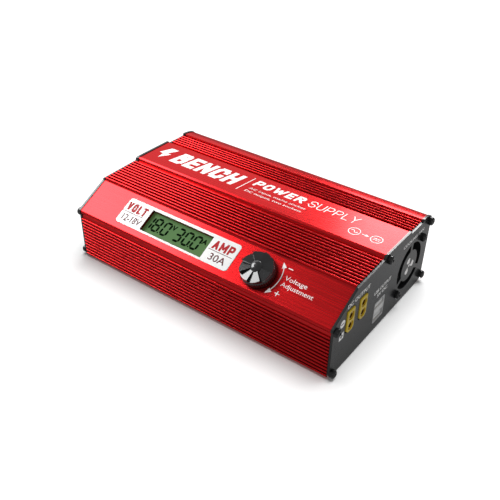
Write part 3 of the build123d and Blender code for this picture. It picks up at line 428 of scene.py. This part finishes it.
def printed(name, matrix, draw, look, lift=0.0):
    """Lays the marks drawn by draw() on a face of the case as one thin closed piece."""
    flat = bmesh.new()
    draw(flat)
    bmesh.ops.remove_doubles(flat, verts=flat.verts, dist=MERGE)
    bmesh.ops.dissolve_degenerate(flat, edges=flat.edges, dist=MERGE)
    for face in flat.faces:
        if face.normal.z < 0:
            face.normal_flip()
    raised = bmesh.ops.extrude_face_region(flat, geom=flat.faces[:])
    for item in raised["geom"]:
        if isinstance(item, bmesh.types.BMVert):
            item.co.z += PRINT_THICK
    for v in flat.verts:
        v.co = matrix @ ((v.co + Vector((0, 0, lift - PRINT_SUNK))) * MM)
    bmesh.ops.recalc_face_normals(flat, faces=flat.faces)
    mesh = bpy.data.meshes.new(name)
    flat.to_mesh(mesh)
    flat.free()
    piece = bpy.data.objects.new(name, mesh)
    bpy.context.scene.collection.objects.link(piece)
    mesh.materials.append(looks[look])
    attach(piece, "root")


def corners(node):
    """The lowest and highest corner of a CAD node, in mm."""
    return [Vector(corner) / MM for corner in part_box(node)]


LABEL_TOP = 0.25       # the label's face above the slope
GLASS_TOP = -2.25      # the display glass below it
shell_low, shell_high = corners("upper_shell")
right_low, right_high = corners("right_end_plate")
left_low = corners("left_end_plate")[0]
label_low = corners("display_label")[0]
joints = {joint["name"]: joint for joint in frame["record"]["behaviour"]["joints"]}
knob_axis = joints["knob_turn"]["axis"]
fan_centre = Vector(joints["fan_spin"]["pos_m"]) / MM
slope_up = Vector((0, knob_axis[2], -knob_axis[1])).normalized()
label_edge = label_low.y + LABEL_TOP * slope_up.z
ridge = label_low.z - (label_edge - shell_low.y) * slope_up.z / slope_up.y
slope_face = faced((shell_low.x, shell_low.y, ridge), (1, 0, 0), slope_up)
flat_face = faced((shell_low.x, shell_low.y, shell_high.z), (1, 0, 0), (0, 1, 0))
right_face = faced((right_high.x, shell_low.y, right_low.z), (0, 1, 0), (0, 0, 1))
left_face = faced((left_low.x, -shell_low.y, left_low.z), (0, -1, 0), (0, 0, 1))


def label_words(flat):
    """Volt and amp, in heavy letters on either side of the display."""
    block(flat, "VOLT", (31.3, 14.9, 48.3, 21.3), 1.5)
    block(flat, "AMP", (105.3, 14.9, 121.2, 21.3), 1.5)


def label_values(flat):
    """The ruled lines and the ranges below them."""
    bar(flat, 29.6, 13.7, 48.0, 14.1)
    bar(flat, 103.9, 13.7, 122.0, 14.1)
    glyphs(flat, "12-18V", (32.8, 7.2, 48.9, 12.1), bold=0.01)
    glyphs(flat, "30A", (107.3, 7.2, 119.8, 12.1), bold=0.01)


printed("label_words", slope_face, label_words, "print_red", lift=LABEL_TOP)
printed("label_values", slope_face, label_values, "print_maroon", lift=LABEL_TOP)

DIGIT_WIDTH = 4.6
DIGIT_HEIGHT = 9.2
DIGIT_STROKE = 1.5
DIGIT_LEAN = 0.07
SEGMENT_GAP = 0.16     # between a segment's tip and its corner
LIT = {"0": "abcdef", "1": "bc", "3": "abcdg", "8": "abcdefg"}
MIDDLE = DIGIT_HEIGHT / 2
SEGMENTS = {
    "a": (0, DIGIT_HEIGHT, DIGIT_WIDTH, DIGIT_HEIGHT),
    "b": (DIGIT_WIDTH, MIDDLE, DIGIT_WIDTH, DIGIT_HEIGHT),
    "c": (DIGIT_WIDTH, 0, DIGIT_WIDTH, MIDDLE),
    "d": (0, 0, DIGIT_WIDTH, 0),
    "e": (0, 0, 0, MIDDLE),
    "f": (0, MIDDLE, 0, DIGIT_HEIGHT),
    "g": (0, MIDDLE, DIGIT_WIDTH, MIDDLE),
}


def digit(flat, char, left, low):
    """One seven-segment character with mitred strokes."""
    for name in LIT[char]:
        x0, y0, x1, y1 = SEGMENTS[name]
        along = Vector((x1 - x0, y1 - y0)).normalized()
        side = Vector((-along.y, along.x)) * DIGIT_STROKE / 2
        start = Vector((x0, y0)) + along * SEGMENT_GAP
        stop = Vector((x1, y1)) - along * SEGMENT_GAP
        cut = along * DIGIT_STROKE / 2
        points = [start, start + cut - side, stop - cut - side,
                  stop, stop - cut + side, start + cut + side]
        outline(flat, [(left + p.x + DIGIT_LEAN * p.y, low + p.y) for p in points])


def reading(flat):
    """A fixed reading in volts and amps, with its points and units."""
    low = 9.9
    for char, left in (("1", 49.9), ("8", 56.6), ("0", 64.3), ("3", 75.4), ("0", 82.7), ("0", 89.8)):
        digit(flat, char, left, low)
    for left in (62.3, 88.2):
        bar(flat, left, low - 0.4, left + 0.95, low + 0.55)
    block(flat, "V", (70.6, 15.6, 73.8, 19.4), 0.85)
    block(flat, "A", (95.9, 15.6, 99.1, 19.4), 0.85)


printed("display_reading", slope_face, reading, "segment_dark", lift=GLASS_TOP)


def knob_marks(flat):
    """A double arrow that bends round the knob, its signs and its words."""
    x, y, radius = 138.9, 14.3, 18.1
    arc(flat, x, y, radius, 0.55, -27, 27)
    for tip, back in ((38, 25.5), (-38, -25.5)):
        arrow_head(flat, polar(x, y, radius, tip), polar(x, y, radius + 0.3, back), 3.0)
    bar(flat, 157.9, 22.9, 161.1, 23.5)
    plus(flat, 160.4, 6.0, 3.3, 0.55)
    glyphs(flat, "Voltage", (159.4, 14.7, 174.6, 18.5))
    glyphs(flat, "Adjustment", (159.2, 10.2, 181.2, 14.0))


printed("knob_marks", slope_face, knob_marks, "print_white")


def top_marks(flat):
    """A lightning bolt and the generic name of such a supply."""
    outline(flat, [(10.0, 68.4), (15.6, 76.6), (12.0, 76.6), (16.4, 84.6), (9.6, 84.6),
                   (5.6, 75.0), (9.2, 75.0)])
    block(flat, "BENCH", (20.0, 68.6, 80.0, 84.3), 3.5, gap=0.16, lean=0.2)
    bar(flat, 82.9, 66.4, 83.5, 86.4, lean=0.12)
    block(flat, "POWER", (88.6, 77.6, 129.8, 85.3), 1.75, gap=0.26, lean=0.2)
    block(flat, "SUPPLY", (132.9, 77.6, 169.8, 85.3), 0.7, gap=0.26, lean=0.1)
    glyphs(flat, "AC input, mains socket", (89.6, 71.6, 135.0, 74.4), bold=0.004, lean=0.15)
    glyphs(flat, "DC output, two sockets", (89.0, 67.2, 134.4, 70.0), bold=0.004, lean=0.15)


printed("top_marks", flat_face, top_marks, "print_white")


def conversion_marks(flat):
    """Alternating current in, direct current out, as plain signs in rings."""
    y = 70.4
    arc(flat, 172.8, y, 3.8, 0.55, 0, 360)
    arc(flat, 171.7, y, 1.1, 0.5, 0, 180, 16)
    arc(flat, 173.9, y, 1.1, 0.5, 180, 360, 16)
    bar(flat, 178.2, y - 0.3, 181.0, y + 0.3)
    arrow_head(flat, (183.0, y), (180.6, y), 2.6)
    arc(flat, 188.2, y, 3.8, 0.55, 0, 360)
    bar(flat, 186.0, y + 0.5, 190.4, y + 1.1)
    for left in (186.0, 187.6, 189.2):
        bar(flat, left, y - 1.1, left + 1.2, y - 0.5)


printed("conversion_marks", flat_face, conversion_marks, "print_white")


def plate_marks(flat):
    """The words over the sockets and the fan, and a round and a square badge by the DC outputs."""
    glyphs(flat, "DC OUTPUT", (14.8, 42.1, 40.5, 45.0), bold=0.014)
    disc(flat, 10.5, 34.5, 2.6)
    bar(flat, 8.1, 22.8, 12.9, 27.6)
    glyphs(flat, "USB OUTPUT", (48.0, 30.4, 69.5, 33.0), bold=0.014)
    glyphs(flat, "5V DC", (52.5, 26.3, 65.5, 28.8), bold=0.014)
    glyphs(flat, "COOLING FAN", (82.5, 44.6, 111.5, 47.0), bold=0.014)


def badge_signs(flat):
    """Minus and plus, dark on their white badges."""
    bar(flat, 8.8, 34.15, 12.2, 34.85)
    plus(flat, 10.5, 25.2, 3.3, 0.75)


def fan_marks(flat):
    """Three swept blades round a hub, the plain sign for a fan."""
    x, y = fan_centre.y - shell_low.y, fan_centre.z - right_low.z
    disc(flat, x, y, 1.0, 24)
    for turn in (90, 210, 330):
        blade = ((1.6, 0), (5.4, -4), (6.4, 8), (6.6, 28), (5.6, 48), (4.0, 52), (2.6, 34))
        outline(flat, [polar(x, y, radius, turn + swept) for radius, swept in blade])


def inlet_marks(flat):
    """The words over the mains inlet and the power switch."""
    glyphs(flat, "AC INPUT", (30.4, 41.0, 57.6, 44.4), bold=0.014)
    glyphs(flat, "POWER", (81.0, 41.0, 95.0, 44.4), bold=0.014)


printed("inlet_marks", left_face, inlet_marks, "print_white")
printed("plate_marks", right_face, plate_marks, "print_white")
printed("badge_signs", right_face, badge_signs, "print_dark", lift=0.03)
printed("fan_marks", right_face, fan_marks, "print_white")


# ---------------------------------------------------------------- stage, lights and camera
PAPER_SCALE = 3.0
PAPER_LOW, PAPER_HIGH = (0.89, 0.89, 0.89), (0.91, 0.91, 0.91)
PAPER_SHADE = 0.30           # how much of its light the paper throws back onto the object
PAPER_FADE = (0.5, 1.5)      # m from the origin over which the paper fades to pure white
FLOOR_REACH = 12.0
WORLD_LIGHT = 0.31


def paper():
    """White to the camera, a dimmer grey to the object, glowing far away and clear from below."""
    nodes, links = tree("paper")
    shader = nodes["Principled BSDF"]
    clear = nodes.new("ShaderNodeBsdfTransparent")
    side = nodes.new("ShaderNodeNewGeometry")
    either = nodes.new("ShaderNodeMixShader")
    links.new(side.outputs["Backfacing"], either.inputs["Fac"])
    links.new(shader.outputs["BSDF"], either.inputs[1])
    links.new(clear.outputs["BSDF"], either.inputs[2])
    links.new(either.outputs["Shader"], nodes["Material Output"].inputs["Surface"])
    cloudy = noise(nodes, links, place(nodes, links), PAPER_SCALE)
    seen = ramp(nodes, links, cloudy, [(NOISE_LOW, PAPER_LOW), (NOISE_HIGH, PAPER_HIGH)])
    path = nodes.new("ShaderNodeLightPath")
    mix = nodes.new("ShaderNodeMix")
    mix.data_type = "RGBA"
    mix.inputs["A"].default_value = (PAPER_SHADE, PAPER_SHADE, PAPER_SHADE, 1)
    links.new(path.outputs["Is Camera Ray"], mix.inputs["Factor"])
    links.new(seen, mix.inputs["B"])
    links.new(mix.outputs["Result"], shader.inputs["Base Color"])
    away = nodes.new("ShaderNodeVectorMath")
    away.operation = "LENGTH"
    links.new(place(nodes, links), away.inputs[0])
    far = nodes.new("ShaderNodeMapRange")
    far.inputs["From Min"].default_value, far.inputs["From Max"].default_value = PAPER_FADE
    links.new(away.outputs["Value"], far.inputs["Value"])
    seen_far = nodes.new("ShaderNodeMath")
    seen_far.operation = "MULTIPLY"
    links.new(far.outputs["Result"], seen_far.inputs[0])
    links.new(path.outputs["Is Camera Ray"], seen_far.inputs[1])
    links.new(seen_far.outputs["Value"], shader.inputs["Emission Strength"])
    shader.inputs["Emission Color"].default_value = (*WHITE, 1)
    shader.inputs["Roughness"].default_value = 0.9
    shader.inputs["Specular IOR Level"].default_value = 0.0


paper()
floor_mesh = bpy.data.meshes.new("floor")
floor_bm = bmesh.new()
bmesh.ops.create_grid(floor_bm, x_segments=4, y_segments=4, size=FLOOR_REACH)
floor_bm.to_mesh(floor_mesh)
floor_bm.free()
floor = bpy.data.objects.new("floor", floor_mesh)
bpy.context.scene.collection.objects.link(floor)
floor_mesh.materials.append(looks["paper"])
floor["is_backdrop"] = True

on_stage = bpy.data.collections.new("on_stage")
on_stage.objects.link(floor)
on_object = bpy.data.collections.new("on_object")
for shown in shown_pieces():
    on_object.objects.link(shown)


def softbox(name, place_at, aim, size, power, lit, shaded_by=None):
    """An area light that reaches one collection only, and may be held back by one only."""
    data = bpy.data.lights.new(name, "AREA")
    data.shape = "RECTANGLE"
    data.size, data.size_y = size
    data.energy = power
    lamp = bpy.data.objects.new(name, data)
    lamp.location = place_at
    lamp.rotation_mode = "QUATERNION"
    lamp.rotation_quaternion = (Vector(aim) - Vector(place_at)).to_track_quat("-Z", "Y")
    bpy.context.scene.collection.objects.link(lamp)
    lamp.light_linking.receiver_collection = lit
    if shaded_by:
        lamp.light_linking.blocker_collection = shaded_by


softbox("sweep", (0.04, 0.32, 1.45), (0, 0, 0), (1.3, 1.3), 32.5, on_stage)
softbox("key", (-0.74, -0.18, 0.68), (0, 0, 0.03), (0.66, 0.5), 9.0, on_object)
softbox("back", (-0.10, 0.95, 0.62), (0.05, 0, 0.03), (0.55, 0.30), 7.0, on_object)
softbox("back_left", (-0.95, 0.70, 0.60), (0, 0, 0.03), (1.1, 0.6), 1.5, on_object)
softbox("right", (1.0, -0.75, 0.55), (0.1, 0, 0.03), (0.5, 0.5), 0.9, on_object)
softbox("under", (0, 0, -0.7), (0, 0, 0), (0.1, 0.1), 3.0, on_object, shaded_by=on_object)

world = bpy.data.worlds.new("studio")
world.use_nodes = True
world_nodes, world_links = world.node_tree.nodes, world.node_tree.links
world_path = world_nodes.new("ShaderNodeLightPath")
world_range = world_nodes.new("ShaderNodeMapRange")
world_range.inputs["To Min"].default_value = WORLD_LIGHT
world_range.inputs["To Max"].default_value = 1.0
world_links.new(world_path.outputs["Is Camera Ray"], world_range.inputs["Value"])
world_links.new(world_range.outputs["Result"], world_nodes["Background"].inputs["Strength"])
world_nodes["Background"].inputs["Color"].default_value = (*WHITE, 1)
bpy.context.scene.world = world

CAMERA_AT = Vector((0.2285, -0.3122, 0.2865))
CAMERA_AIM = Vector((0.0008, 0, 0.0152))
CAMERA_ROLL = math.radians(1.02)
camera_data = bpy.data.cameras.new("camera")
camera_data.lens = 49.15
camera_data.sensor_width = 36.0
camera = bpy.data.objects.new("camera", camera_data)
bpy.context.scene.collection.objects.link(camera)
camera.location = CAMERA_AT
camera.rotation_mode = "QUATERNION"
aimed = (CAMERA_AIM - CAMERA_AT).to_track_quat("-Z", "Y").to_matrix()
camera.rotation_quaternion = (aimed @ Matrix.Rotation(CAMERA_ROLL, 3, "Z")).to_quaternion()
bpy.context.scene.camera = camera
bpy.context.scene.view_settings.view_transform = "Standard"
